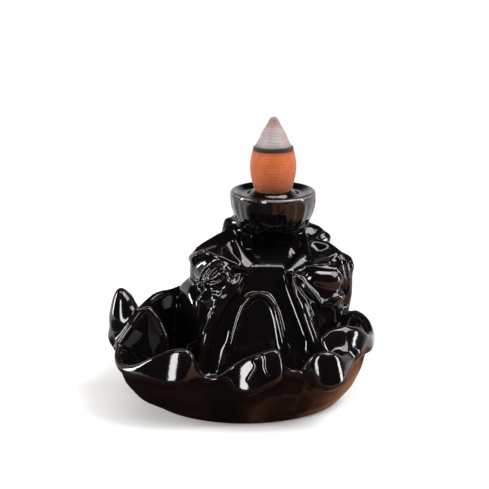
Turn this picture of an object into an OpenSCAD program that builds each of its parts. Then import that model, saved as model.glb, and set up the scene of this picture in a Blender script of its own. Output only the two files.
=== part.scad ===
// Backflow incense burner: a glazed lotus-leaf dish with a small leafy hill at its back,
// a cup on the hill, and one pressed incense cone standing in the cup.
// Millimetres. The origin is the middle of the flat foot, on the table. +Z is up and
// the front, where the smoke runs out into the dish, faces -Y.

/* [Dish] */
// Width of the plain oval that the ruffled rim follows
dish_w = 96; // [86:1:106]
// Depth of that oval, front to back
dish_d = 82; // [74:1:90]
// Height of the front lobes over the table
rim_h = 34; // [31:0.5:37]
// Width of the flat foot
foot_w = 78; // [72:1:82]
// Depth of the flat foot
foot_d = 64; // [59:1:68]
// Height of the pond's floor over the table
floor_h = 8; // [6:0.5:10]
// Thickness of the dish's wall
wall = 4; // [3.4:0.2:4.6]

/* [Hill and cup] */
// Height of the cup's rim over the table
burner_h = 77; // [72:0.5:82]
// Diameter of the cup at its rim
cup_d = 35; // [33:0.5:37]
// Depth of the cup's moat below its rim
moat_depth = 2; // [1:0.2:3]
// Diameter of the hole that lets the smoke down
smoke_hole_d = 5; // [4:0.5:6]

/* [Incense cone] */
// Height of the cone
cone_h = 30; // [26:0.5:34]
// Largest diameter of the cone
cone_d = 18.8; // [18:0.2:20]
// Diameter of the cone's foot
cone_foot_d = 15; // [14:0.5:16]
// Diameter of the channel up the cone's middle
channel_d = 3; // [2:0.25:4]
// Height of that channel
channel_h = 16; // [12:1:19]

/* [Hidden] */

// The points of the hill, the bud and the lobes below are set by hand for a burner of this
// dish width, dish depth and height. fit() carries them to the sizes chosen above.
drawn_size = [96, 82, 77];
growth = [dish_w / drawn_size.x, dish_d / drawn_size.y, burner_h / drawn_size.z];

// The rim's heights, and those of the bud and lobes on it, are set for this height of the lobes
drawn_rim_h = 34;
rim_growth = rim_h / drawn_rim_h;

dish_back_shift = 3;
foot_edge_round = 1.2;
bowl_fullness = 2.2;

cup_at = [11.6 * growth.x, 31 * growth.y];
seat_r = 8.6;
seat_drop = 0.1;
seat_h = burner_h - seat_drop;

// The rim, once round from the front left notch, seen from above against the clock.
// Each row: bearing in degrees from +X, reach past the plain oval, height, fold (0 upright, 1 rolled over)
rim = [
    [-107, 0.7, 23.5, 0.0], [-104, 0.4, 23.2, 0.0], [-100.5, 0.2, 24.4, 0.0], [-97, 0.4, 26.8, 0.25],
    [-93.5, 0.9, 29.4, 0.65], [-88.5, 1.2, 31.8, 0.9], [-82.5, 1.6, 33.8, 0.85], [-78, 1.9, 35, 0.8],
    [-75.2, 1.9, 34, 0.6], [-73.4, 1.8, 29.8, 0.2], [-71, 1.6, 26.8, 0.0], [-67, 2.0, 25.9, 0.0],
    [-64.3, 3.4, 26.6, 0.1], [-62.3, 4.4, 31, 0.6], [-58.5, 6.2, 33.3, 0.95], [-53, 6.8, 32.4, 0.85],
    [-47, 6.2, 30, 0.5], [-41, 5, 28, 0.15], [-33, 4.0, 30, 0.2], [-25, 3.8, 32.5, 0.4],
    [-17, 3.0, 30.5, 0.2], [-8, 1.0, 33.5, 0.5],
    [4, -2.8, 34.5, 0.5], [14, -4.4, 32, 0.1], [27, -2.0, 32.5, 0.4], [42, -0.6, 34, 0.5],
    [56, -0.4, 31, 0.1], [70, 0.2, 32, 0.5], [86, 0.6, 33.5, 0.5], [100, -0.8, 31, 0.1],
    [113, -0.8, 34, 0.5], [125, -1.6, 35.5, 0.6], [134, -3.6, 35.5, 0.1], [144, -2.6, 35.5, 0.4],
    [157, -2.6, 33, 0.3], [169, -3.0, 33, 0.2], [180, -4.4, 34.5, 0.2], [190, -2.8, 32, 0.1],
    [199, 3.2, 28.5, 0.0], [208, 7.6, 25.6, 0.0], [216, 9.0, 24.3, 0.1], [224, 8.7, 26, 0.25],
    [231.5, 7.7, 30, 0.5], [239, 5.8, 33.7, 0.8], [243.5, 4.6, 34.5, 0.85], [246.6, 3.6, 34.3, 0.8],
    [248.6, 2.8, 31.5, 0.5], [250.3, 2.0, 26.6, 0.15]
];
rim_sections = 100;

// A smooth run through four rows, t from 0 to 1 between the middle two
function between(a, b, c, d, t) =
    0.5 * (2 * b + (c - a) * t + (2 * a - 5 * b + 4 * c - d) * t * t + (3 * b - a - 3 * c + d) * t * t * t);

// Row i of the rim, where i runs on past either end of the list
function rim_row(i) =
    let (turn = floor(i / len(rim)), row = rim[i - turn * len(rim)])
    [row[0] + 360 * turn, row[1], row[2] * rim_growth, row[3]];
function rim_at(s) =
    let (i = floor(s))
    between(rim_row(i - 1), rim_row(i), rim_row(i + 1), rim_row(i + 2), s - i);

// Share of the way from foot to crest that the bowl has gone out at a share h of its height
function bowl(h) = 1 - pow(1 - min(h, 1), bowl_fullness);

// One point of the dish: share of the way out, extra reach and height at a rim row
function dish_point(row, share, extra, z) =
    let (half = [foot_w + (dish_w - foot_w) * share, foot_d + (dish_d - foot_d) * share] / 2,
         reach = row[1] * share + extra)
    [(half.x + reach) * cos(row[0]), (half.y + reach) * sin(row[0]) + dish_back_shift * growth.y, z];

// The dish's section at one rim row, from the foot's edge up over the crest to the floor
function dish_section(row) =
    let (h = row[2], fold = min(max(row[3], 0), 1),
         under = h - 2.4 - 14 * fold,
         lip = 0.6 + 4.6 * fold,
         inner = wall + 0.6)
    [
        dish_point(row, 0, -foot_edge_round, 0),
        dish_point(row, 0, 0, foot_edge_round),
        dish_point(row, bowl(under * 0.3 / h), -0.3, under * 0.3),
        dish_point(row, bowl(under * 0.62 / h), -0.6, under * 0.62),
        dish_point(row, bowl(under / h), -0.6 - fold, under),
        dish_point(row, bowl(under / h), lip, under - 0.3 * fold),
        dish_point(row, 1, lip, under + 2 * fold),
        dish_point(row, 1, (lip + 0.7) / 2 + 0.3 * fold, (under + h) / 2),
        dish_point(row, 1, 0.7, h - 1),
        dish_point(row, 1, -0.6, h),
        dish_point(row, 1, -2.2, h - 1.2),
        dish_point(row, bowl(0.8), -inner, h * 0.8),
        dish_point(row, bowl(0.5), -inner, max(h * 0.5, floor_h + 4)),
        dish_point(row, bowl(0.32), -inner - 0.6, floor_h + 1.4),
        dish_point(row, bowl(0.32), -inner - 3, floor_h)
    ];

module dish() {
    sections = [for (i = [0 : rim_sections - 1]) dish_section(rim_at(i * len(rim) / rim_sections))];
    n = len(sections);
    m = len(sections[0]);
    polyhedron(
        points = [for (section = sections) each section],
        faces = [
            for (i = [0 : n - 1], j = [0 : m - 2])
                let (a = i * m + j, b = (i + 1) % n * m + j)
                each [[a, a + 1, b + 1], [a, b + 1, b]],
            [for (i = [0 : n - 1]) i * m],
            [for (i = [n - 1 : -1 : 0]) i * m + m - 1]
        ],
        convexity = 8);
}

function fit(p) = [p.x * growth.x, p.y * growth.y, p.z * growth.z];

module ball(p, r, facets = undef)
    translate(fit(p)) sphere(r, $fn = is_undef(facets) ? (r > 2.3 ? 12 : 8) : facets);

// Lets what stands on the rim rise with the rim and not with the cup
module on_rim() scale([1, 1, rim_growth / growth.z]) children();

// A lump through a few balls, each row [x, y, z, radius]
module lump(rows) hull() for (row = rows) ball(row, row[3]);

// A ridge that runs from ball to ball
module ridge(rows) for (i = [0 : len(rows) - 2]) lump([rows[i], rows[i + 1]]);

// A leaf as a fan of thin plates round its middle, with a raised rim
module leaf(middle, edge, thick = 1.5, rim_r = 1.7) {
    for (i = [0 : len(edge) - 2]) hull() {
        ball(middle, thick);
        ball(edge[i], rim_r);
        ball(edge[i + 1], rim_r);
    }
}

// The rock under the leaves, with three folds down its back
module hill_core() {
    lump([[-16, 22, 11, 6], [26, 16, 11, 6], [5, 25, 11, 6], [-13, 32, 36, 7], [31, 27, 36, 7],
        [8, 37, 36, 6], [1, 33, 55, 7], [22, 33, 53, 7]]);
    ridge([[-3, 39, 55, 4], [-9, 38, 42, 6], [-12, 36, 28, 6]]);
    ridge([[11, 41, 57, 4], [9, 41, 44, 5], [5, 40, 30, 5]]);
    ridge([[25, 37, 54, 4], [27, 33, 42, 6], [23, 29, 30, 6]]);
    lump([[-13, 32, 12, 5], [5, 34, 12, 5], [22, 28, 12, 5],
          [-10, 36, 30, 5], [5, 38, 28, 5], [22, 33, 30, 5]]);
    lump([[-2, 36, 57, 3], [12, 38.5, 58, 3], [22.5, 33.5, 58, 3]]);
}

// The slide that the smoke runs down, in falls from the cave to the pond, with a bank on each side.
// Each row of falls: left end, right end, y, height, radius
module slide() {
    falls = [[2, 18, 25, 53, 2], [0.5, 18, 18, 46, 2.5], [-4, 20, 13, 37, 3], [-12, 25, 6, 24, 3],
        [-14, 27, 0, 8, 3]];
    behind = 28;
    for (i = [0 : len(falls) - 2]) hull() for (row = [falls[i], falls[i + 1]], x = [row[0], row[1]]) {
        ball([x, row[2] + row[4], row[3]], row[4]);
        ball([x, behind, row[3]], row[4]);
    }
    ridge([[1, 20, 47, 2.2], [-3.5, 14.5, 40.5, 2.4], [-10, 9.5, 34, 2.4], [-15, 4, 24, 2.6],
        [-18, 0, 8, 2.8]]);
    ridge([[18, 19, 46, 2.2], [20.5, 13.5, 40.5, 2.4], [24.5, 7, 31, 2.4], [28, 3, 22, 2.6],
        [30, -1, 8, 2.8]]);
}

// The upright leaf at the slide's foot: a thick plate with a rolled edge
module arch() {
    ridge([
        [-8.5, -2, 7, 1.6], [-5, 2.5, 22, 1.5], [-2.6, 5.6, 30, 1.5], [-0.6, 7, 35.2, 1.5],
        [2.2, 8, 38.6, 1.5], [5.6, 8.4, 39.9, 1.5], [9.2, 8, 38.8, 1.5], [12, 7, 35.4, 1.5],
        [13.4, 5.6, 30, 1.5], [15.2, 2.5, 22, 1.5], [18, -2, 7, 1.6]
    ]);
    lump([[-7.4, -0.4, 7, 2], [17, -0.4, 7, 2], [-1.4, 7.6, 31, 2], [12.2, 7.6, 31, 2],
        [1.6, 9.4, 36.8, 2], [9.6, 9.4, 36.8, 2], [5.6, 15, 34, 4], [5.6, 8, 9, 4]]);
}

module left_leaves() {
    // The broad leaf under the cup, and the rock that it lies on
    leaf([-10, 22.5, 54.6], [
        [-3.5, 30, 60.5], [-10.5, 29, 57.5], [-17.5, 26, 54], [-21.8, 23.5, 50], [-20.5, 20, 51.5],
        [-15.5, 17.5, 54], [-9, 16.5, 51.8], [-3.8, 16.4, 48.8], [-0.4, 17.8, 46.6], [-2.6, 21.4, 52],
        [-4.2, 26, 57], [-3.5, 30, 60.5]]);
    lump([[-18.5, 23, 48, 3.8], [-5, 20.5, 47, 4], [-1.6, 21.5, 48.5, 2.6], [-6, 26, 54, 4],
        [-19.5, 25.5, 44, 3.4], [-19, 26, 38, 3.6], [-6, 22, 26, 6], [-14, 27, 24, 6]]);
    // The strip where that leaf turns down to the cave
    lump([[-4.8, 26, 56, 2], [-3.9, 23.4, 58, 1.2], [-2, 19.4, 51.8, 1.2], [-0.8, 16.6, 48.1, 1.2],
        [1.8, 17.2, 47.1, 1.2], [3.2, 19.1, 48.6, 1.2], [-0.2, 21.1, 53, 1.2], [-3, 24, 50, 3]]);
    // The curled, scalloped leaf below it
    lump([[-16, 17, 42.5, 2.6], [-14, 17, 49, 2.6], [-8, 16, 48, 2.6], [-7, 15, 42, 3], [-8, 15, 36, 4],
        [-5, 18, 30, 6], [-17, 22, 46, 4]]);
    lump([[-16.6, 13.6, 43.4, 1.6], [-12.6, 13.4, 47.6, 1.6], [-9.2, 13.6, 50, 1.6], [-7.4, 13, 46, 1.5],
        [-10, 12.4, 43, 1.6], [-14.6, 12.8, 41.8, 1.6]]);
    // The boulders at its foot
    lump([[-16, 12.5, 37, 2.6], [-12, 11, 38, 2.6], [-14, 11, 30, 3], [-17, 12, 20, 4], [-12, 12, 20, 4],
        [-8, 17, 30, 5]]);
    lump([[-24, 27, 36, 3], [-21, 19, 36, 3], [-18.8, 15, 33, 3], [-23, 26, 14, 6], [-18, 18, 18, 6],
        [-14, 24, 32, 5], [-15, 30, 42, 4], [-17, 32, 28, 5]]);
}

module right_leaves() {
    // The broad leaf under the cup on this side
    leaf([30.6, 22.2, 51], [
        [25.2, 25, 55.4], [28.4, 26, 56.4], [33.8, 24.6, 55.4], [37.4, 21.5, 53.4], [33.4, 17.6, 51.8],
        [28.6, 16.6, 49.8], [26.8, 19.2, 51.8], [25.2, 25, 55.4]]);
    lump([[16.2, 12.8, 47.2, 1.2], [23.8, 20.7, 52.2, 1.2], [25.2, 20.1, 50.8, 1.2],
        [25.1, 18.3, 48.8, 1.2], [19.4, 14.1, 47, 1.2], [19.6, 20, 46.4, 2], [24.4, 24.5, 51, 2]]);
    lump([[22, 18, 46, 2.6], [22, 18, 40, 3], [26.6, 19.6, 48.4, 3], [36, 20.5, 48.4, 3], [31, 20, 44, 3]]);
    lump([[27.6, 15.6, 49, 1.3], [33.4, 17.8, 51.4, 1.3], [37.2, 18.4, 51.6, 1.3], [37.6, 17, 47.8, 1.3]]);
    lump([[37.4, 21.5, 53, 1.6], [42.4, 21.8, 50.4, 1.6], [43.4, 20, 47.6, 1.6], [41.6, 18.6, 43, 1.6],
        [37.4, 18, 51, 1.4], [40, 18, 42, 1.6]]);
    lump([[22, 21, 44, 4], [21.2, 21.5, 48, 2.6], [27, 26, 52, 4], [39.2, 20.5, 46, 3.2],
        [38.8, 21, 38, 4], [34, 20, 22, 6], [24, 22, 22, 6]]);
    ridge([[42.4, 20.5, 49, 1.8], [42.2, 19.5, 44, 2], [41.4, 18.5, 37, 2.6], [38, 18, 26, 4]]);
    // The folded leaf that makes the right bank, with its two rims
    hull() {
        ball([27.6, 17, 43.4], 5.6, 18);
        ball([34.4, 18, 42.6], 5.8, 18);
        ball([33.4, 17, 39], 5, 18);
    }
    lump([[23.6, 13, 42, 2.4], [24, 11, 34, 3], [25, 18, 36, 4], [35.6, 15, 36, 4], [27, 10, 20, 5],
        [33, 14, 20, 6]]);
    lump([[19.4, 14.6, 43.6, 1.6], [20.8, 13.8, 45.6, 1.4], [20, 17, 45, 2], [21, 15, 40, 2]]);
    ridge([[25, 15, 48.4, 1.4], [21, 13, 46.6, 1.4], [19.6, 11.6, 43, 1.5], [21, 10, 38.8, 1.6],
        [24, 8.2, 34.4, 1.6], [26, 6.3, 30.5, 1.7]]);
    ridge([[22, 12.6, 44.8, 1.4], [25, 11.6, 41.6, 1.4], [28, 10.4, 37.8, 1.5], [30.6, 9.6, 34.4, 1.6],
        [34.2, 10.8, 34, 1.8], [38.6, 14.4, 36.6, 2]]);
    ridge([[25, 15, 48.4, 1.4], [30, 15.6, 48.4, 1.3], [37, 16.8, 47.2, 1.3]]);
    lump([[21.4, 15, 45.6, 1.6], [25, 16.4, 47.4, 1.6], [37, 18, 46.4, 1.6], [30, 18, 45, 2],
        [23, 14, 40, 2]]);
}

module top_rocks() {
    lump([[-6.2, 34, 62.4, 2.6], [-2, 32, 62, 4], [-6, 32, 57, 4], [-2.5, 28, 56, 3]]);
    lump([[24, 34, 60, 3.4], [29, 34, 58.8, 3], [33, 33, 55.4, 3], [27, 29, 54, 4], [25.5, 28, 55, 3]]);
}

// The cup: a squat bowl with a shallow moat round a flat seat
module cup() {
    r = cup_d / 2;
    translate([cup_at.x, cup_at.y, burner_h]) rotate_extrude($fn = 48) polygon([
        [0, -17], [r - 8, -17], [r - 4.6, -15.6], [r - 2.6, -12.5], [r - 1, -9], [r - 0.1, -5],
        [r, -1.3], [r - 0.5, -0.3], [r - 1.5, 0], [r - 2.6, -0.5], [r - 5, -moat_depth],
        [seat_r + 1, -moat_depth], [seat_r, -seat_drop], [0, -seat_drop]
    ]);
}

// The cave under the cup where the smoke comes out, and the hole down to it from the seat
module smoke_way() {
    lump([[2, 10, 50, 2], [17.5, 10, 50, 2], [0.6, 10, 58, 2.4], [21.4, 10, 58, 2.4], [6, 31, 58, 2],
        [17, 31, 58, 2]]);
    in_cave = 57 * growth.z;
    translate([cup_at.x, cup_at.y, in_cave]) cylinder(h = burner_h - in_cave, d = smoke_hole_d, $fn = 32);
}

// The pointed lotus bud outside the left rim
module bud() {
    hull() {
        ball([-47.8, -3, 44], 2.4, 12);
        ball([-47, -3, 39.8], 4.9, 16);
        ball([-46.4, -3, 33.4], 6.8, 20);
    }
    hull() {
        ball([-46.8, -3, 26.8], 7, 20);
        ball([-42, -3, 16], 4, 12);
    }
}

// The lobe that folds in over the pond beside the bud
module left_lobe() {
    leaf([-38.6, -6.6, 28], [
        [-49.4, -11.6, 24.4], [-46.8, -12, 28.4], [-43, -10.8, 33.6], [-40, -7.8, 38.2],
        [-36.9, -7, 38.8], [-33.6, -7.6, 34.4], [-30.8, -8.8, 28], [-29.8, -9, 20], [-36, -8, 13]]);
    lump([[-38, -3, 31, 3], [-43, -5, 26, 5], [-35, -3, 11, 5], [-41, 4, 15, 4], [-33, -6, 18, 2.6],
        [-42, 1, 29, 4], [-41.4, -5.6, 33.4, 2.4]]);
}

// The lobe that folds out over the front right corner
module right_lobe() {
    leaf([38, -26, 30], [
        [36, -31, 26], [30, -28, 29.5], [29.2, -25.5, 33.8], [32, -24, 36.4], [37.4, -22.4, 36.8],
        [43, -19.4, 35], [46, -16.5, 31.6], [42.5, -25, 27]]);
    lump([[35, -26, 29, 2.6], [41, -20, 29.5, 3], [32, -20, 12, 4], [36, -13, 12, 4], [38, -26, 26, 3]]);
}

module burner_body() color("#1b1412") {
    dish();
    on_rim() {
        bud();
        left_lobe();
        right_lobe();
    }
    arch();
    left_leaves();
    right_leaves();
    difference() {
        union() {
            hill_core();
            slide();
            top_rocks();
            cup();
        }
        smoke_way();
    }
}

// The incense cone: a barrel below, an ember step, and the slimmer ash above
module incense_cone() {
    r = cone_d / 2;
    foot_r = cone_foot_d / 2;
    tip_r = 1.1;
    color("#cf8452") translate([cup_at.x, cup_at.y, seat_h]) rotate_extrude($fn = 48) polygon([
        [channel_d / 2, 0], [foot_r - 0.5, 0], [foot_r, 0.5], [r - 0.75, cone_h * 0.14],
        [r, cone_h * 0.3], [r - 0.2, cone_h * 0.4], [r - 1.0, cone_h * 0.52], [r - 1.55, cone_h * 0.575],
        [r - 2.2, cone_h * 0.59], [r * 0.56, cone_h * 0.75], [r * 0.37, cone_h * 0.86],
        [tip_r + 0.6, cone_h * 0.95], [tip_r, cone_h - 0.4], [tip_r * 0.5, cone_h], [0, cone_h],
        [0, channel_h], [channel_d / 2, channel_h]
    ]);
}

burner_body();
incense_cone();
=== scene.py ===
"""Looks of a backflow incense burner: a black-glazed lotus dish with a leafy hill and a cup,
and a partly burnt incense cone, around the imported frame. Metres, +Z up, front towards -Y.

The glazed body is the frame's solid, rounded on a grid as thick glaze rounds it, with a true
round cup and with lines that are too fine for the frame. The cone is turned from an outline."""
import math

import bmesh
import bpy
import numpy as np
import openvdb
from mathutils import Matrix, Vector

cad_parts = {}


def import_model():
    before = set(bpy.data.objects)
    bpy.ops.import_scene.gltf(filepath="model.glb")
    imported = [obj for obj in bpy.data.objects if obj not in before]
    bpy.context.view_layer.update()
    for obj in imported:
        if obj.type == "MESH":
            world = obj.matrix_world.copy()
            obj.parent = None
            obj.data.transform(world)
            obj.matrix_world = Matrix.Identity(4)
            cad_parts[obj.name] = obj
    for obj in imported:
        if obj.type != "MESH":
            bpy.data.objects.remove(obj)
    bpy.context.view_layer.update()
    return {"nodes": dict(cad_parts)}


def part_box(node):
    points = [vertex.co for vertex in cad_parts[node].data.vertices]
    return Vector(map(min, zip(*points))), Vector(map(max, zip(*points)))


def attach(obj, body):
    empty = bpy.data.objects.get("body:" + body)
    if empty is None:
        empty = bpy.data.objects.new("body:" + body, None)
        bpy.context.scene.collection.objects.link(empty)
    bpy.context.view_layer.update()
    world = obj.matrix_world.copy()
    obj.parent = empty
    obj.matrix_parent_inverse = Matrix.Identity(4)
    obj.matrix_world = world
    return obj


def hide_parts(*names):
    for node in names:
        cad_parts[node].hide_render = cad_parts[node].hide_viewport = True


MM = 0.001
WHITE = (1.0, 1.0, 1.0)

# Camera of the photograph
CAMERA_AT_MM = (0.0, -441.5, 189.2)
CAMERA_DOWN_DEG = 16.0
SENSOR_MM = 36.0
LENS_MM = 87.8

# The glazed surface is worked out on a grid of this pitch, as distances in a band of cells. It is
# then thinned to about this many triangles and settled back onto the surface.
GRID_MM = 0.4
BAND_CELLS = 6
GRID_MARGIN_CELLS = 2
FAR_MM = 1e3
BODY_TRIANGLES = 185000
SETTLE_TURNS = 2

# How far the glaze rounds what it covers: everywhere, and in the zones of plain form. Each zone is
# a low corner, a high corner and how far in the softening fades up.
GLAZE_SOFTNESS_MM = 0.75
PLAIN_SOFTNESS_MM = 1.3
PLAIN_ZONES = {
    "bowl and rim": ((-60, -60, 0.9), (60, 60, 21), 3),
    "bud": ((-60, -12, 20), (-37, 8, 43.5), 3),
    "right lobe": ((27, -36, 20), (60, -12, 40), 3),
    "neck of the cup": ((-8, 8, 58), (31, 36, 67.5), 2),
    "shell": ((-21, 0, 38), (-5, 26, 52.5), 2)
}

# Glaze is thin where the surface stands out of its own blur: reach of the blur, where the wear
# starts and over how much it comes in
WEAR_REACH_MM = 1.5
WEAR_FROM_MM = 0.18
WEAR_OVER_MM = 0.6

# The cup as its outline in (radius, height), from its underside out, over the rim and in to the seat
CUP_AXIS_MM = (11.6, 31.0)
CUP_OUTLINE_MM = [
    (0, 60.4), (10, 60.6), (12.4, 61.6), (14.1, 63.6), (15.4, 65.8), (16.4, 68.2), (17.1, 70.8),
    (17.4, 73.4), (17.5, 75.4), (17.3, 76.3), (16.8, 76.8), (16.0, 77), (15.2, 76.7), (14.2, 76),
    (12.8, 75.2), (11.4, 75), (10.2, 75.1), (9.4, 75.9), (8.9, 76.6), (8.4, 76.9), (0, 76.9)
]
SMOKE_HOLE_R_MM = 2.5

# The cup's outline joins the frame's up to this height, and stands alone above it
CUP_ALONE_Z_MM = 66.5
CUP_FADE_MM = 2
CUP_MARGIN_MM = 1

# Runs of glaze down the cup's outside: how many round the cup, depth and start angle of each wave
CUP_RUNS = [(7, 0.10, 0.4), (13, 0.13, 2.0), (23, 0.09, 4.1), (37, 0.05, 1.2)]
CUP_RUNS_TOP_MM = 75.6
CUP_RUNS_IN_MM = 12.0

# The outer corner of the cup's rim, where a pale line is painted as a highlight: radii and heights
# between which it fades up
RIM_HIGHLIGHT_R_M = (0.0168, 0.0171)
RIM_HIGHLIGHT_Z_M = (0.0757, 0.0760)

# Colours of the glaze, how far it breaks to brown at edges and how strong the painted brown
# reflection low on the wall is, and the heights between which that painted reflection and the
# bare foot fade out. The pale colour is a painted highlight along the cup's rim.
GLAZE_BLACK = (0.0022, 0.0018, 0.0021)
BROWN_BREAK_AND_REFLECTION = (0.040, 0.0135, 0.0055)
RIM_PAINTED_HIGHLIGHT = (0.17, 0.14, 0.133)
BARE_CLAY = (0.105, 0.062, 0.040)
CLAY_ROUGHNESS = (0.8, 0.8, 0.8)
EDGE_BREAKING = 0.22
LOW_WALL_REFLECTION = 0.30
LOW_WALL_M = (0.004, 0.022)
FOOT_M = (0.0003, 0.0007)

# The incense cone's outline from its foot up, in shares of its largest radius and of its height
CONE_OUTLINE = [
    (0.745, 0.0), (0.798, 0.012), (0.86, 0.06), (0.925, 0.14), (0.975, 0.22), (1.0, 0.31),
    (0.985, 0.40), (0.94, 0.48), (0.893, 0.54), (0.872, 0.56), (0.868, 0.577), (0.85, 0.597),
    (0.775, 0.612), (0.75, 0.624), (0.655, 0.68), (0.54, 0.76), (0.42, 0.835), (0.355, 0.868),
    (0.33, 0.875), (0.24, 0.93), (0.17, 0.97), (0.10, 0.992), (0.0, 1.0)
]
CONE_SIDES = 180
CONE_RING_STEP_MM = 0.22
CHANNEL_R_MM = 1.5
CHANNEL_DEEP_MM = 16.0
POLE_MM = 0.0005

# The ash starts over the ember ring and leans a little. Grooves run round it, and the whole cone
# is gritty, but rings as small as the tip's stay plain.
EMBER_TOP = 0.60
ASH_FROM = 0.61
ASH_LEAN_MM = 0.45
ASH_LEAN_POWER = 1.2
ASH_GROOVE_MM = 0.07
ASH_GROOVES_PER_HEIGHT = 26
GRIT_MM = 0.018
GRIT_SEED = 7
TIP_R_MM = 1

# Colours by share of the cone's height: pressed powder, darkened at the foot as painted shade,
# dark ember ring, ash and browner tip
CONE_COLOURS_AND_FOOT_SHADE = [
    (0.0, (0.13, 0.030, 0.009)), (0.12, (0.28, 0.064, 0.018)), (0.30, (0.39, 0.092, 0.025)),
    (0.50, (0.40, 0.096, 0.027)), (0.545, (0.25, 0.066, 0.025)), (0.558, (0.013, 0.010, 0.010)),
    (0.607, (0.011, 0.009, 0.010)), (0.620, (0.205, 0.184, 0.184)), (0.70, (0.295, 0.266, 0.262)),
    (0.855, (0.275, 0.228, 0.218)), (0.875, (0.275, 0.182, 0.160)), (1.0, (0.18, 0.130, 0.112))
]

# The floor, and the distances from the middle between which it runs out to white for the camera
FLOOR_HALF_MM = 3000.0
FLOOR_DROP_MM = 0.02
FLOOR_PALE = (0.86, 0.85, 0.84)
FLOOR_FADE_M = (0.16, 0.55)

# A warm disc on the floor for all other rays: its middle, where it fades out, and its tone from
# left to right, with streaks
DISC_AT_M = (0.0, -0.50, 0.0)
DISC_FADE_M = (0.52, 0.58)
DISC_ACROSS_M = (-0.10, 0.12)
DISC_COLOURS = [(0.0, (0.02, 0.008, 0.005)), (0.5, (0.07, 0.027, 0.013)), (0.85, (0.44, 0.20, 0.105))]
DISC_STREAKS_M = 0.45

# Fine lines of the casting, drawn as (x, z) in millimetres on a sheet in front of the hill.
# Each is laid back onto the surface, along the line of sight from the camera.
SHEET_Y_MM = 15.0
SIGHT_FROM_MM = -68
SIGHT_TO_MM = 26
SIGHT_STEP_MM = 0.25
LINE_STEP_MM = 0.8
JUMP_MM = 1.6
LINE_BLEND_MM = 0.4
LINE_SOFTNESS_MM = 0.25
RUN_SMOOTHING_TURNS = 2
BEAD_R_MM = 0.55
DOT_R_MM = 0.9
DOT_LENGTH_MM = 0.4
GROOVE_R_MM = 0.6
BEADS = {
    "broad leaf, fold": [(-19.7, 57.2), (-14, 55.2), (-7, 52), (-3, 50.2)],
    "broad leaf, hem": [(-20.6, 53.2), (-18.2, 54.2), (-15.4, 54.4), (-12.8, 53.8), (-10, 52.8)],
    "shell, rim": [(-10.4, 53), (-14, 50.6), (-16.8, 47), (-18.2, 43), (-18.4, 40)],
    "shell, first rib": [(-9.4, 52), (-12.8, 50), (-15.4, 46.8), (-16.8, 43.6)],
    "shell, second rib": [(-9, 50), (-11.6, 48.6), (-14, 45.8), (-15.4, 43.4)],
    "shell, eye": [
        (-15.8, 42.6), (-13.4, 43.8), (-10.6, 45.2), (-8.8, 44.8), (-8.6, 43.4), (-10.6, 42), (-14, 41.2),
        (-15.8, 41.8)],
    "shell, tail": [(-7, 41.6), (-8.4, 39), (-10.6, 36.4), (-12.2, 34), (-13, 31.4), (-13.4, 28.6)],
    "left boulder": [(-24, 46.4), (-22, 44.6), (-20.4, 42.4), (-19.8, 39.4), (-19, 37), (-17.4, 34.4)],
    "right leaf, lip": [(25, 50), (28.4, 50.8), (32.8, 52.6), (36.8, 54.6)],
    "right leaf, hem": [(24.2, 49.2), (27.4, 49.2), (32.2, 48.2), (36.8, 47.8)],
    "right leaf, oval": [
        (34.4, 50.8), (35.4, 51.6), (36.4, 51.2), (36.2, 50.4), (35, 50.2), (34.4, 50.8)],
    "right wing, inner": [(37.4, 53.4), (38.8, 50), (39.4, 46.6), (40.6, 42.6), (40.2, 38.4)],
    "right wing, outer": [(38.2, 54), (40.2, 51.4), (41.4, 48.4), (41.8, 44.4)],
    "right bank, outer": [
        (24, 49.2), (21.2, 47.6), (19.6, 45), (20.2, 41.4), (22.2, 38), (24.8, 35), (26.2, 31.4)],
    "right bank, inner": [(20.8, 45), (22.6, 44), (24.6, 41.6), (27, 38.8), (29, 36.4), (30.4, 34)],
    "right boulder, foot": [(32.2, 34.2), (34.8, 35.4), (38, 37)],
    "top right rock": [(28, 61), (30, 63.6), (32.8, 63.2), (34.4, 61)],
    "middle petal, left run": [(3.8, 8.1), (5, 6.4), (3, 3.1), (1.4, 0.2)],
    "middle petal, right run": [(7.8, 12.2), (9, 8.9), (8.6, 6.4), (9.8, 3.1)]
}
DOTS = {"shell, upper": (-8.8, 46.6), "shell, lower": (-6.8, 42.6), "left boulder": (-20.4, 42.2)}
GROOVES = {
    "broad leaf, under the fold": [(-18.6, 55.6), (-14, 54.6), (-9.4, 52.6)],
    "shell, rim": [(-10, 52.4), (-13.4, 50.4), (-16.2, 46.8), (-17.6, 43)],
    "shell, first rib": [(-9.4, 51), (-12.2, 49.4), (-14.8, 46.2), (-16.2, 43.4)],
    "shell, second rib": [(-9.6, 48.2), (-11.8, 47), (-13.8, 44.6)],
    "shell, eye": [(-14.2, 42.6), (-12, 43.4), (-10, 43.6)],
    "right leaf, eye": [(29, 50), (31.6, 50.4), (33.4, 50.4)],
    "right bank": [(21, 46.4), (20.6, 43.6), (22.2, 40.4), (24.4, 37.6), (27, 34.6)]
}


def principled(name):
    """A new material with its node tree and its shader node."""
    material = bpy.data.materials.new(name)
    material.use_nodes = True
    return material, material.node_tree, material.node_tree.nodes["Principled BSDF"]


def add(tree, kind, **values):
    """Adds a node, sets its properties and its unlinked inputs by name."""
    node = tree.nodes.new(kind)
    for key, value in values.items():
        if hasattr(node, key):
            setattr(node, key, value)
        else:
            node.inputs[key.replace("_", " ")].default_value = value
    return node


def ramp(tree, source, stops, blend="EASE"):
    """A colour ramp fed by source. stops are (place, colour or grey)."""
    node = add(tree, "ShaderNodeValToRGB")
    node.color_ramp.interpolation = blend
    elements = node.color_ramp.elements
    while len(elements) < len(stops):
        elements.new(0.5)
    for element, (place, colour) in zip(elements, stops):
        element.position = place
        if not isinstance(colour, tuple):
            colour = (colour,) * 3
        element.color = (*colour, 1.0)
    tree.links.new(source, node.inputs["Fac"])
    return node.outputs["Color"]


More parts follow.
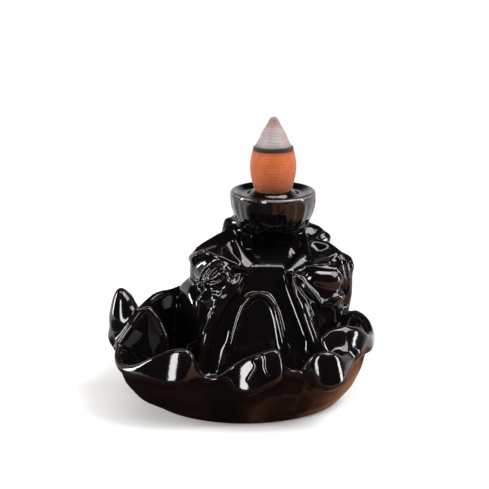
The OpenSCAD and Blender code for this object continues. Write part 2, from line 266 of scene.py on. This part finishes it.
def math_node(tree, operation, a, b):
    """A math node, where a and b are sockets or numbers."""
    node = add(tree, "ShaderNodeMath", operation=operation)
    for socket, value in zip(node.inputs, (a, b)):
        if isinstance(value, (int, float)):
            socket.default_value = value
        else:
            tree.links.new(value, socket)
    return node.outputs[0]


def one_minus(tree, value):
    """1 less the value of a socket."""
    return math_node(tree, "SUBTRACT", 1.0, value)


def mix_colour(tree, share, a, b, blend="MIX"):
    """Mixes colours a and b, each a socket or a tuple, by share."""
    node = add(tree, "ShaderNodeMix", data_type="RGBA", blend_type=blend)
    for socket, value in ((node.inputs[0], share), (node.inputs[6], a), (node.inputs[7], b)):
        if isinstance(value, (int, float)):
            socket.default_value = value
        elif isinstance(value, tuple):
            socket.default_value = (*value, 1.0)
        else:
            tree.links.new(value, socket)
    return node.outputs[2]


def share_between(tree, value, low, high):
    """0 where value is low or less, 1 where it is high or more."""
    node = add(tree, "ShaderNodeMapRange", interpolation_type="SMOOTHSTEP")
    node.inputs["From Min"].default_value = low
    node.inputs["From Max"].default_value = high
    tree.links.new(value, node.inputs["Value"])
    return node.outputs["Result"]


def position(tree):
    """Place of the shaded point in the row frame, as a socket."""
    return add(tree, "ShaderNodeNewGeometry").outputs["Position"]


def along_axis(tree, vector, axis):
    """The X, Y or Z of a vector socket."""
    split = add(tree, "ShaderNodeSeparateXYZ")
    tree.links.new(vector, split.inputs[0])
    return split.outputs[axis]


def height(tree):
    """Height over the table, in metres, as a socket."""
    return along_axis(tree, position(tree), "Z")


def distance_from(tree, vector, middle):
    """Distance of a vector socket's place from a fixed point."""
    node = add(tree, "ShaderNodeVectorMath", operation="DISTANCE")
    node.inputs[1].default_value = middle
    tree.links.new(vector, node.inputs[0])
    return node.outputs["Value"]


def noise(tree, scale, detail=3.0, roughness=0.55):
    """Noise laid out in the row frame, scale in features a metre."""
    node = add(tree, "ShaderNodeTexNoise", Scale=scale, Detail=detail, Roughness=roughness)
    tree.links.new(position(tree), node.inputs["Vector"])
    return node.outputs["Fac"]


def bump(tree, shader, source, strength, distance):
    """Puts source on the shader's normal as a bump."""
    node = add(tree, "ShaderNodeBump", Strength=strength, Distance=distance)
    tree.links.new(source, node.inputs["Height"])
    tree.links.new(node.outputs["Normal"], shader.inputs["Normal"])


def painted_rim_highlight(tree):
    """1 on the sharp outer corner of the cup's rim, where a pale highlight is painted, and 0 elsewhere.
    """
    flat = add(tree, "ShaderNodeVectorMath", operation="MULTIPLY")
    flat.inputs[1].default_value = (1.0, 1.0, 0.0)
    tree.links.new(position(tree), flat.inputs[0])
    axis = (CUP_AXIS_MM[0] * MM, CUP_AXIS_MM[1] * MM, 0.0)
    outer = share_between(tree, distance_from(tree, flat.outputs[0], axis), *RIM_HIGHLIGHT_R_M)
    high = share_between(tree, height(tree), *RIM_HIGHLIGHT_Z_M)
    uneven = share_between(tree, noise(tree, 160.0), 0.30, 0.62)
    return math_node(tree, "MULTIPLY", math_node(tree, "MULTIPLY", outer, high), uneven)


def glaze_material():
    """Glossy black glaze that breaks to brown where it runs thin, with a painted low brown reflection, a
    painted rim highlight and a bare clay foot.
    """
    material, tree, shader = principled("black_glaze")
    cloud = noise(tree, 90.0, 4.0)
    wear = add(tree, "ShaderNodeAttribute", attribute_name="thin_glaze").outputs["Fac"]
    edges = math_node(tree, "MULTIPLY", wear, share_between(tree, cloud, 0.38, 0.62))
    low_wall = one_minus(tree, share_between(tree, height(tree), *LOW_WALL_M))
    # Painted brown reflection, in patches, low on the wall
    painted_low_reflection = math_node(tree, "MULTIPLY", low_wall, share_between(tree, noise(tree, 45.0), 0.42, 0.66))
    breaking_and_reflection = math_node(
        tree, "MAXIMUM", math_node(tree, "MULTIPLY", edges, EDGE_BREAKING),
        math_node(tree, "MULTIPLY", painted_low_reflection, LOW_WALL_REFLECTION))
    glazed = mix_colour(tree, breaking_and_reflection, GLAZE_BLACK, BROWN_BREAK_AND_REFLECTION)
    # Painted highlight: a pale line along the cup's rim
    rim_highlighted = mix_colour(tree, painted_rim_highlight(tree), glazed, RIM_PAINTED_HIGHLIGHT)
    foot = one_minus(tree, share_between(tree, height(tree), *FOOT_M))
    tree.links.new(mix_colour(tree, foot, rim_highlighted, BARE_CLAY), shader.inputs["Base Color"])
    gloss = ramp(tree, cloud, [(0.3, 0.055), (0.7, 0.10)])
    tree.links.new(mix_colour(tree, foot, gloss, CLAY_ROUGHNESS), shader.inputs["Roughness"])
    shader.inputs["IOR"].default_value = 1.46
    fine = math_node(tree, "MULTIPLY", noise(tree, 1400.0, 2.0), 0.12)
    skin = math_node(tree, "ADD", noise(tree, 220.0, 2.0), fine)
    bump(tree, shader, skin, 0.12, 0.0006)
    return material


def incense_material(low, high):
    """Orange pressed powder, darkened at the foot as painted shade, a dark ember ring and grey ash, by
    height between low and high.
    """
    material, tree, shader = principled("incense")
    rise = add(tree, "ShaderNodeMapRange")
    rise.inputs["From Min"].default_value = low
    rise.inputs["From Max"].default_value = high
    tree.links.new(height(tree), rise.inputs["Value"])
    uneven = math_node(tree, "SUBTRACT", noise(tree, 900.0), 0.5)
    ragged = math_node(tree, "MULTIPLY", uneven, 0.012)
    share = math_node(tree, "ADD", rise.outputs["Result"], ragged)
    # The colours darken towards the foot as painted shade
    colours = ramp(tree, share, CONE_COLOURS_AND_FOOT_SHADE, "LINEAR")
    grain = noise(tree, 2600.0, 4.0, 0.7)
    grains = ramp(tree, grain, [(0.3, 0.80), (0.7, 1.12)])
    blotches = ramp(tree, noise(tree, 260.0), [(0.3, 0.90), (0.7, 1.06)])
    layers = add(tree, "ShaderNodeTexWave", bands_direction="Z", Scale=265.0, Distortion=4.5, Detail=2.0)
    layers.inputs["Detail Scale"].default_value = 0.6
    tree.links.new(position(tree), layers.inputs["Vector"])
    lines = ramp(tree, layers.outputs["Fac"], [(0.0, 0.84), (0.4, 1.0)])
    for shade in (grains, blotches, lines):
        colours = mix_colour(tree, 1.0, colours, shade, "MULTIPLY")
    tree.links.new(colours, shader.inputs["Base Color"])
    shader.inputs["Roughness"].default_value = 0.92
    shader.inputs["Specular IOR Level"].default_value = 0.2
    shader.inputs["Sheen Weight"].default_value = 1.0
    shader.inputs["Sheen Roughness"].default_value = 0.5
    shader.inputs["Sheen Tint"].default_value = (0.32, 0.235, 0.195, 1.0)
    bump(tree, shader, grain, 0.35, 0.0003)
    return material


def mesh_points(mesh):
    """Vertices of a mesh, in millimetres."""
    points = np.empty(len(mesh.vertices) * 3, np.float64)
    mesh.vertices.foreach_get("co", points)
    return points.reshape(-1, 3) / MM


def mesh_triangles(mesh):
    """Triangles of a mesh, as rows of three vertices."""
    mesh.calc_loop_triangles()
    triangles = np.empty(len(mesh.loop_triangles) * 3, np.int32)
    mesh.loop_triangles.foreach_get("vertices", triangles)
    return triangles.reshape(-1, 3)


def new_mesh(name, points_mm, faces):
    """An object with a mesh of points in millimetres and equal-sized faces."""
    mesh = bpy.data.meshes.new(name)
    mesh.vertices.add(len(points_mm))
    mesh.vertices.foreach_set("co", (np.asarray(points_mm, float) * MM).ravel())
    corners = faces.shape[1]
    mesh.loops.add(len(faces) * corners)
    mesh.loops.foreach_set("vertex_index", faces.ravel().astype(np.int32))
    mesh.polygons.add(len(faces))
    mesh.polygons.foreach_set("loop_start", np.arange(len(faces), dtype=np.int32) * corners)
    mesh.update(calc_edges=True)
    obj = bpy.data.objects.new(name, mesh)
    bpy.context.scene.collection.objects.link(obj)
    return obj


def smooth_shaded(mesh):
    """Shades every face of a mesh smooth."""
    mesh.polygons.foreach_set("use_smooth", np.ones(len(mesh.polygons), bool))


def thinned(obj, triangles):
    """Brings an object's mesh down to about that many triangles, as one applied decimation."""
    now = sum(len(p.vertices) - 2 for p in obj.data.polygons)
    if now <= triangles:
        return obj
    modifier = obj.modifiers.new("thin", "DECIMATE")
    modifier.ratio = triangles / now
    graph = bpy.context.evaluated_depsgraph_get()
    mesh = bpy.data.meshes.new_from_object(obj.evaluated_get(graph))
    obj.modifiers.clear()
    obj.data = mesh
    return obj


class Field:
    """Signed distance to a surface on a regular grid, in millimetres, negative inside."""

    def __init__(self, points, triangles):
        self.transform = openvdb.createLinearTransform(voxelSize=GRID_MM)
        grid = openvdb.FloatGrid.createLevelSetFromPolygons(
            points.astype(np.float32), triangles=triangles.astype(np.uint32),
            transform=self.transform, halfWidth=BAND_CELLS)
        low, high = grid.evalActiveVoxelBoundingBox()
        self.low = np.array(low) - GRID_MARGIN_CELLS
        size = np.array(high) + GRID_MARGIN_CELLS + 1 - self.low
        self.values = np.zeros(size, np.float32)
        grid.copyToArray(self.values, ijk=tuple(int(v) for v in self.low))

    def patch(self, points, reach):
        """The slices and cell centres of the part of the grid within reach of some points."""
        points = np.asarray(points, float)
        a = np.floor((points.min(0) - reach) / GRID_MM).astype(int) - self.low
        b = np.ceil((points.max(0) + reach) / GRID_MM).astype(int) - self.low + 1
        a = np.clip(a, 0, self.values.shape)
        b = np.clip(b, 0, self.values.shape)
        axes = [(np.arange(a[i], b[i]) + self.low[i]) * GRID_MM for i in range(3)]
        return tuple(slice(a[i], b[i]) for i in range(3)), np.stack(np.meshgrid(*axes, indexing="ij"), -1)

    def stroke(self, rows, blend, carve):
        """Adds, or carves, a smooth stroke through rows of [x, y, z, radius]."""
        rows = np.asarray(rows, float)
        cells, at = self.patch(rows[:, :3], rows[:, 3].max() + 2 * blend)
        nearest = np.full(at.shape[:3], FAR_MM)
        for a, b in zip(rows[:-1], rows[1:]):
            along = b[:3] - a[:3]
            t = np.clip(((at - a[:3]) @ along) / (along @ along), 0, 1)
            gap = np.linalg.norm(at - a[:3] - t[..., None] * along, axis=-1) - (a[3] + t * (b[3] - a[3]))
            nearest = np.minimum(nearest, gap)
        old = -self.values[cells] if carve else self.values[cells]
        near = np.maximum(blend - np.abs(old - nearest), 0) / blend
        joined = np.minimum(old, nearest) - near * near * blend / 4
        self.values[cells] = -joined if carve else joined

    def blurred(self, sigma_mm):
        """The field after a Gaussian blur."""
        reach = int(math.ceil(3 * sigma_mm / GRID_MM))
        weights = np.exp(-0.5 * (np.arange(-reach, reach + 1) * GRID_MM / sigma_mm) ** 2)
        weights = (weights / weights.sum()).astype(np.float32)
        out = self.values
        for axis in range(3):
            margins = [(reach, reach) if i == axis else (0, 0) for i in range(3)]
            padded = np.pad(out, margins, mode="edge")
            length = out.shape[axis]
            out = sum(w * np.take(padded, range(k, k + length), axis) for k, w in enumerate(weights))
        return out

    def soften(self):
        """Rounds every edge as thick glaze does, and the plain zones the most."""
        plain = self.blurred(PLAIN_SOFTNESS_MM)
        self.values = self.blurred(GLAZE_SOFTNESS_MM)
        for low, high, fade in PLAIN_ZONES.values():
            cells, at = self.patch([low, high], 0)
            inside = np.minimum(at - low, np.array(high) - at).min(-1)
            share = np.clip(inside / fade, 0, 1)
            self.values[cells] += (plain[cells] - self.values[cells]) * share

    def sample(self, values, points):
        """Values of a grid at points, by straight interpolation."""
        place = points / GRID_MM - self.low
        base = np.clip(np.floor(place).astype(int), 0, np.array(values.shape) - 2)
        t = place - base
        total = 0
        for i in (0, 1):
            for j in (0, 1):
                for k in (0, 1):
                    weight = abs(1 - i - t[:, 0]) * abs(1 - j - t[:, 1]) * abs(1 - k - t[:, 2])
                    total = total + weight * values[base[:, 0] + i, base[:, 1] + j, base[:, 2] + k]
        return total

    def slope(self, points):
        """Unit outward direction of the field at points."""
        parts = []
        for shift in np.eye(3) * GRID_MM:
            ahead = self.sample(self.values, points + shift)
            behind = self.sample(self.values, points - shift)
            parts.append(ahead - behind)
        out = np.stack(parts, -1)
        return out / np.maximum(np.linalg.norm(out, axis=1), 1e-9)[:, None]

    def surface(self):
        """Points in millimetres and quads of the zero surface."""
        grid = openvdb.FloatGrid(BAND_CELLS * GRID_MM)
        grid.transform = self.transform
        grid.gridClass = openvdb.GridClass.LEVEL_SET
        grid.copyFromArray(self.values, ijk=tuple(int(v) for v in self.low))
        points, quads = grid.convertToQuads(isovalue=0.0)
        return points, quads[:, ::-1]


def smooth_run(points):
    """Evens out a run of points, with its ends left in place."""
    out = points.copy()
    for _ in range(RUN_SMOOTHING_TURNS):
        out[1:-1] = (out[:-2] + 2 * out[1:-1] + out[2:]) / 4
    return out


def laid_on(field, line):
    """Where a line of the sheet meets the surface, in small steps, as runs that make no jump in depth."""
    line = np.array(line, float)
    lengths = np.hypot(*np.diff(line, axis=0).T)
    along = np.concatenate([[0], np.cumsum(lengths)])
    steps = np.linspace(0, along[-1], int(along[-1] / LINE_STEP_MM) + 2)
    x, z = (np.interp(steps, along, line[:, i]) for i in (0, 1))
    sheet = np.stack([x, np.full(len(steps), SHEET_Y_MM), z], -1)
    aim = sheet - np.array(CAMERA_AT_MM)
    aim /= np.linalg.norm(aim, axis=1)[:, None]
    depths = np.arange(SIGHT_FROM_MM, SIGHT_TO_MM, SIGHT_STEP_MM)
    inside = np.stack([field.sample(field.values, sheet + aim * depth) for depth in depths]) < 0
    first = np.argmax(inside, axis=0)
    met = np.flatnonzero(inside.any(axis=0) & (first > 0))
    points = sheet + aim * depths[first][:, None]
    jumps = np.abs(np.diff(depths[first[met]])) > JUMP_MM
    ends = np.flatnonzero((np.diff(met) > 1) | jumps) + 1
    return [smooth_run(points[run]) for run in np.split(met, ends) if len(run) > 1]


def carve_details(field):
    """Draws the fine lines that are too small for the frame, all laid down before the first is cut."""
    dots = {name: [(x, z), (x + DOT_LENGTH_MM, z)] for name, (x, z) in DOTS.items()}
    kinds = [(GROOVES, GROOVE_R_MM, True), (BEADS, BEAD_R_MM, False), (dots, DOT_R_MM, False)]
    strokes = []
    for lines, radius, carve in kinds:
        for line in lines.values():
            for run in laid_on(field, line):
                strokes.append(([(*point, radius) for point in run], carve))
    for rows, carve in strokes:
        field.stroke(rows, LINE_BLEND_MM, carve)


def outline_distance(x, y, outline):
    """Signed distance from points x, y to a closed outline, negative inside."""
    nearest = np.full(x.shape, FAR_MM)
    crossings = np.zeros(x.shape, int)
    for (ax, ay), (bx, by) in zip(outline, np.roll(outline, -1, axis=0)):
        dx, dy = bx - ax, by - ay
        t = np.clip(((x - ax) * dx + (y - ay) * dy) / (dx * dx + dy * dy), 0, 1)
        nearest = np.minimum(nearest, np.hypot(x - ax - t * dx, y - ay - t * dy))
        spans = (ay > y) != (by > y)
        if dy:
            crossings += spans & (x < ax + (y - ay) * dx / dy)
    return np.where(crossings % 2, -nearest, nearest)


def lay_cup(field):
    """Turns the cup true and round, in the place of the frame's faceted one."""
    axis = np.array(CUP_AXIS_MM)
    outline = np.array(CUP_OUTLINE_MM)
    reach = outline[:, 0].max() + CUP_MARGIN_MM
    low = [*(axis - reach), outline[:, 1].min() + CUP_MARGIN_MM]
    high = [*(axis + reach), outline[:, 1].max() + CUP_MARGIN_MM]
    cells, at = field.patch([low, high], 0)
    x, y, z = at[..., 0] - axis[0], at[..., 1] - axis[1], at[..., 2]
    r = np.hypot(x, y)
    turn = np.arctan2(y, x)
    runs = sum(size * np.sin(count * turn + start) for count, size, start in CUP_RUNS)
    below_rim = np.clip((CUP_RUNS_TOP_MM - z) / CUP_FADE_MM, 0, 1) * (r > CUP_RUNS_IN_MM)
    r = r + runs * below_rim
    turned = np.maximum(outline_distance(r, z, outline), SMOKE_HOLE_R_MM - r)
    old = field.values[cells]
    alone = np.clip((z - CUP_ALONE_Z_MM) / CUP_FADE_MM, 0, 1)
    joined = np.where(r > SMOKE_HOLE_R_MM, np.minimum(old, turned), old)
    field.values[cells] = joined + (turned - joined) * alone


def burner_body(node):
    """The glazed body: the frame's solid with soft edges, fine lines and a glaze that thins at edges."""
    field = Field(mesh_points(node.data), mesh_triangles(node.data))
    field.soften()
    lay_cup(field)
    carve_details(field)
    field.values = field.blurred(LINE_SOFTNESS_MM)
    body = thinned(new_mesh("glazed_body", *field.surface()), BODY_TRIANGLES)
    mesh = body.data
    points = mesh_points(mesh)
    for _ in range(SETTLE_TURNS):
        points -= field.sample(field.values, points)[:, None] * field.slope(points)
    points[:, 2] = np.maximum(points[:, 2], 0)
    mesh.vertices.foreach_set("co", (points * MM).ravel())
    stands_out = field.sample(field.blurred(WEAR_REACH_MM), points)
    thin = np.clip((stands_out - WEAR_FROM_MM) / WEAR_OVER_MM, 0, 1)
    mesh.attributes.new("thin_glaze", "FLOAT", "POINT").data.foreach_set("value", thin.astype(np.float32))
    smooth_shaded(mesh)
    mesh.normals_split_custom_set_from_vertices(field.slope(points))
    mesh.materials.append(glaze_material())
    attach(body, "root")
    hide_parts("burner_body")


def cone_rings(low, high, radius):
    """The rings of the channel, from its top down, and of the outside, from the foot to the tip,
    each as (radius, height) in millimetres."""
    top = low + CHANNEL_DEEP_MM
    channel = [(0.0, top), (CHANNEL_R_MM, top), (CHANNEL_R_MM, low)]
    outline = [(r * radius, low + h * (high - low)) for r, h in CONE_OUTLINE]
    outside = []
    for (r0, z0), (r1, z1) in zip(outline[:-1], outline[1:]):
        steps = max(1, int(math.hypot(r1 - r0, z1 - z0) / CONE_RING_STEP_MM))
        outside += [(r0 + (r1 - r0) * i / steps, z0 + (z1 - z0) * i / steps) for i in range(steps)]
    return channel, outside + [(0.0, high)]


def turned_faces(rings):
    """Four-cornered faces between each ring of the cone and the next."""
    here = np.arange(CONE_SIDES)
    beside = (here + 1) % CONE_SIDES
    band = np.stack([here, beside, beside + CONE_SIDES, here + CONE_SIDES], -1)
    return np.concatenate([band + k * CONE_SIDES for k in range(rings - 1)])


def close_poles(mesh):
    """Turns each end ring of no width into one point, so that the turned mesh is closed."""
    work = bmesh.new()
    work.from_mesh(mesh)
    bmesh.ops.remove_doubles(work, verts=work.verts, dist=POLE_MM * MM)
    work.to_mesh(mesh)
    work.free()


def incense_cone(node):
    """The pressed cone, with fine rings in its ash, a gritty skin and its channel from below."""
    low, high = (np.array(v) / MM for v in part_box(node.name))
    middle = (low + high) / 2
    radius = (high[0] - low[0]) / 2
    tall = high[2] - low[2]
    channel, outside = cone_rings(low[2], high[2], radius)
    rings = channel + outside
    angle = np.arange(CONE_SIDES) * 2 * math.pi / CONE_SIDES
    rng = np.random.default_rng(GRIT_SEED)
    points = []
    for k, (r, z) in enumerate(rings):
        share = (z - low[2]) / tall
        ring = np.full(CONE_SIDES, r)
        if k > len(channel) and r > TIP_R_MM:
            ring += rng.normal(0, GRIT_MM, CONE_SIDES)
        if share > ASH_FROM and r > TIP_R_MM:
            wave = math.sin(share * 2 * math.pi * ASH_GROOVES_PER_HEIGHT)
            ring -= ASH_GROOVE_MM * max(0.0, wave) ** 3
        ring = np.minimum(ring, radius)
        lean = ASH_LEAN_MM * max(0.0, share - EMBER_TOP) ** ASH_LEAN_POWER
        x = middle[0] + lean + ring * np.cos(angle)
        y = middle[1] + ring * np.sin(angle)
        points.append(np.stack([x, y, np.full(CONE_SIDES, z)], -1))
    cone = new_mesh("incense", np.concatenate(points), turned_faces(len(rings)))
    close_poles(cone.data)
    smooth_shaded(cone.data)
    cone.data.materials.append(incense_material(low[2] * MM, high[2] * MM))
    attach(cone, "root")
    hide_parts(node.name)


def camera():
    """The photograph's camera."""
    data = bpy.data.cameras.new("camera")
    data.lens = LENS_MM
    data.sensor_width = SENSOR_MM
    obj = bpy.data.objects.new("camera", data)
    obj.location = [v * MM for v in CAMERA_AT_MM]
    obj.rotation_euler = (math.radians(90 - CAMERA_DOWN_DEG), 0, 0)
    bpy.context.scene.collection.objects.link(obj)
    bpy.context.scene.camera = obj


def softbox(name, at, aim, size, watts):
    """A rectangular lamp at a place, turned to another, in millimetres."""
    data = bpy.data.lights.new(name, "AREA")
    data.shape = "RECTANGLE"
    data.size = size[0] * MM
    data.size_y = size[1] * MM
    data.energy = watts
    obj = bpy.data.objects.new(name, data)
    place = np.array(at) * MM
    obj.location = place
    obj.rotation_euler = Vector(np.array(aim) * MM - place).to_track_quat("-Z", "Y").to_euler()
    bpy.context.scene.collection.objects.link(obj)


def lights():
    """Softboxes: a broad one high on the right, narrow ones on both sides and one overhead."""
    softbox("key", (700, -260, 880), (0, 0, 30), (700, 700), 15.0)
    softbox("strip_front_left", (-370, -770, 300), (-20, 0, 25), (190, 480), 6.2)
    softbox("strip_left", (-900, 60, 230), (0, 0, 30), (130, 460), 6.6)
    softbox("strip_right", (900, -90, 120), (0, 0, 30), (110, 480), 3.4)
    softbox("overhead", (0, -330, 900), (0, 0, 30), (900, 160), 3.4)


def world():
    """A white background for the camera. Mirror rays see it low behind the object and a dim
    room elsewhere, and soft light comes mostly from behind and the sides."""
    sky = bpy.data.worlds.new("studio")
    sky.use_nodes = True
    bpy.context.scene.world = sky
    tree = sky.node_tree
    tree.nodes.clear()
    direction = add(tree, "ShaderNodeTexCoord").outputs["Generated"]
    back = along_axis(tree, direction, "Y")
    up = along_axis(tree, direction, "Z")
    low = one_minus(tree, share_between(tree, up, 0.3, 0.7))
    sweep = math_node(tree, "MULTIPLY", share_between(tree, back, -0.1, 0.55), low)
    room = ramp(tree, sweep, [(0.0, 0.012), (0.35, 0.12), (1.0, 0.95)], "LINEAR")
    soft = ramp(tree, share_between(tree, back, -0.7, 0.5), [(0.0, 0.16), (1.0, 0.50)], "LINEAR")
    rays = add(tree, "ShaderNodeLightPath")
    seen = mix_colour(tree, rays.outputs["Is Glossy Ray"], soft, room)
    seen = mix_colour(tree, rays.outputs["Is Camera Ray"], seen, WHITE)
    light = add(tree, "ShaderNodeBackground", Strength=1.0)
    out = add(tree, "ShaderNodeOutputWorld")
    tree.links.new(seen, light.inputs["Color"])
    tree.links.new(light.outputs[0], out.inputs["Surface"])


def warm_disc(tree):
    """The floor's colour for all rays but the camera's: pale, with a warm disc that gives the low
    glaze its brown reflections."""
    streaks = math_node(tree, "SUBTRACT", noise(tree, 30.0), 0.5)
    streaks = math_node(tree, "MULTIPLY", streaks, DISC_STREAKS_M)
    across = math_node(tree, "ADD", along_axis(tree, position(tree), "X"), streaks)
    toned = ramp(tree, share_between(tree, across, *DISC_ACROSS_M), DISC_COLOURS, "LINEAR")
    away = distance_from(tree, position(tree), DISC_AT_M)
    return mix_colour(tree, share_between(tree, away, *DISC_FADE_M), toned, FLOOR_PALE)


def floor():
    """A plain pale floor that keeps the object's shadow and runs out to white for the camera."""
    corners = np.array([[-1, -1, 0], [1, -1, 0], [1, 1, 0], [-1, 1, 0]]) * FLOOR_HALF_MM
    obj = new_mesh("floor", corners - np.array([0, 0, FLOOR_DROP_MM]), np.array([[0, 1, 2, 3]]))
    material, tree, shader = principled("pale_floor")
    shader.inputs["Roughness"].default_value = 0.75
    shader.inputs["Specular IOR Level"].default_value = 0.2
    from_camera = add(tree, "ShaderNodeLightPath").outputs["Is Camera Ray"]
    seen = mix_colour(tree, from_camera, warm_disc(tree), FLOOR_PALE)
    tree.links.new(seen, shader.inputs["Base Color"])
    far = share_between(tree, distance_from(tree, position(tree), (0.0, 0.0, 0.0)), *FLOOR_FADE_M)
    white = add(tree, "ShaderNodeEmission", Strength=1.0)
    mixed = add(tree, "ShaderNodeMixShader")
    tree.links.new(math_node(tree, "MULTIPLY", far, from_camera), mixed.inputs[0])
    tree.links.new(shader.outputs[0], mixed.inputs[1])
    tree.links.new(white.outputs[0], mixed.inputs[2])
    tree.links.new(mixed.outputs[0], tree.nodes["Material Output"].inputs["Surface"])
    obj.data.materials.append(material)


def main():
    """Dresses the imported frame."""
    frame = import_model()
    camera()
    world()
    lights()
    floor()
    burner_body(frame["nodes"]["burner_body"])
    incense_cone(frame["nodes"]["incense_cone"])
    bpy.context.scene.view_settings.view_transform = "Standard"


main()
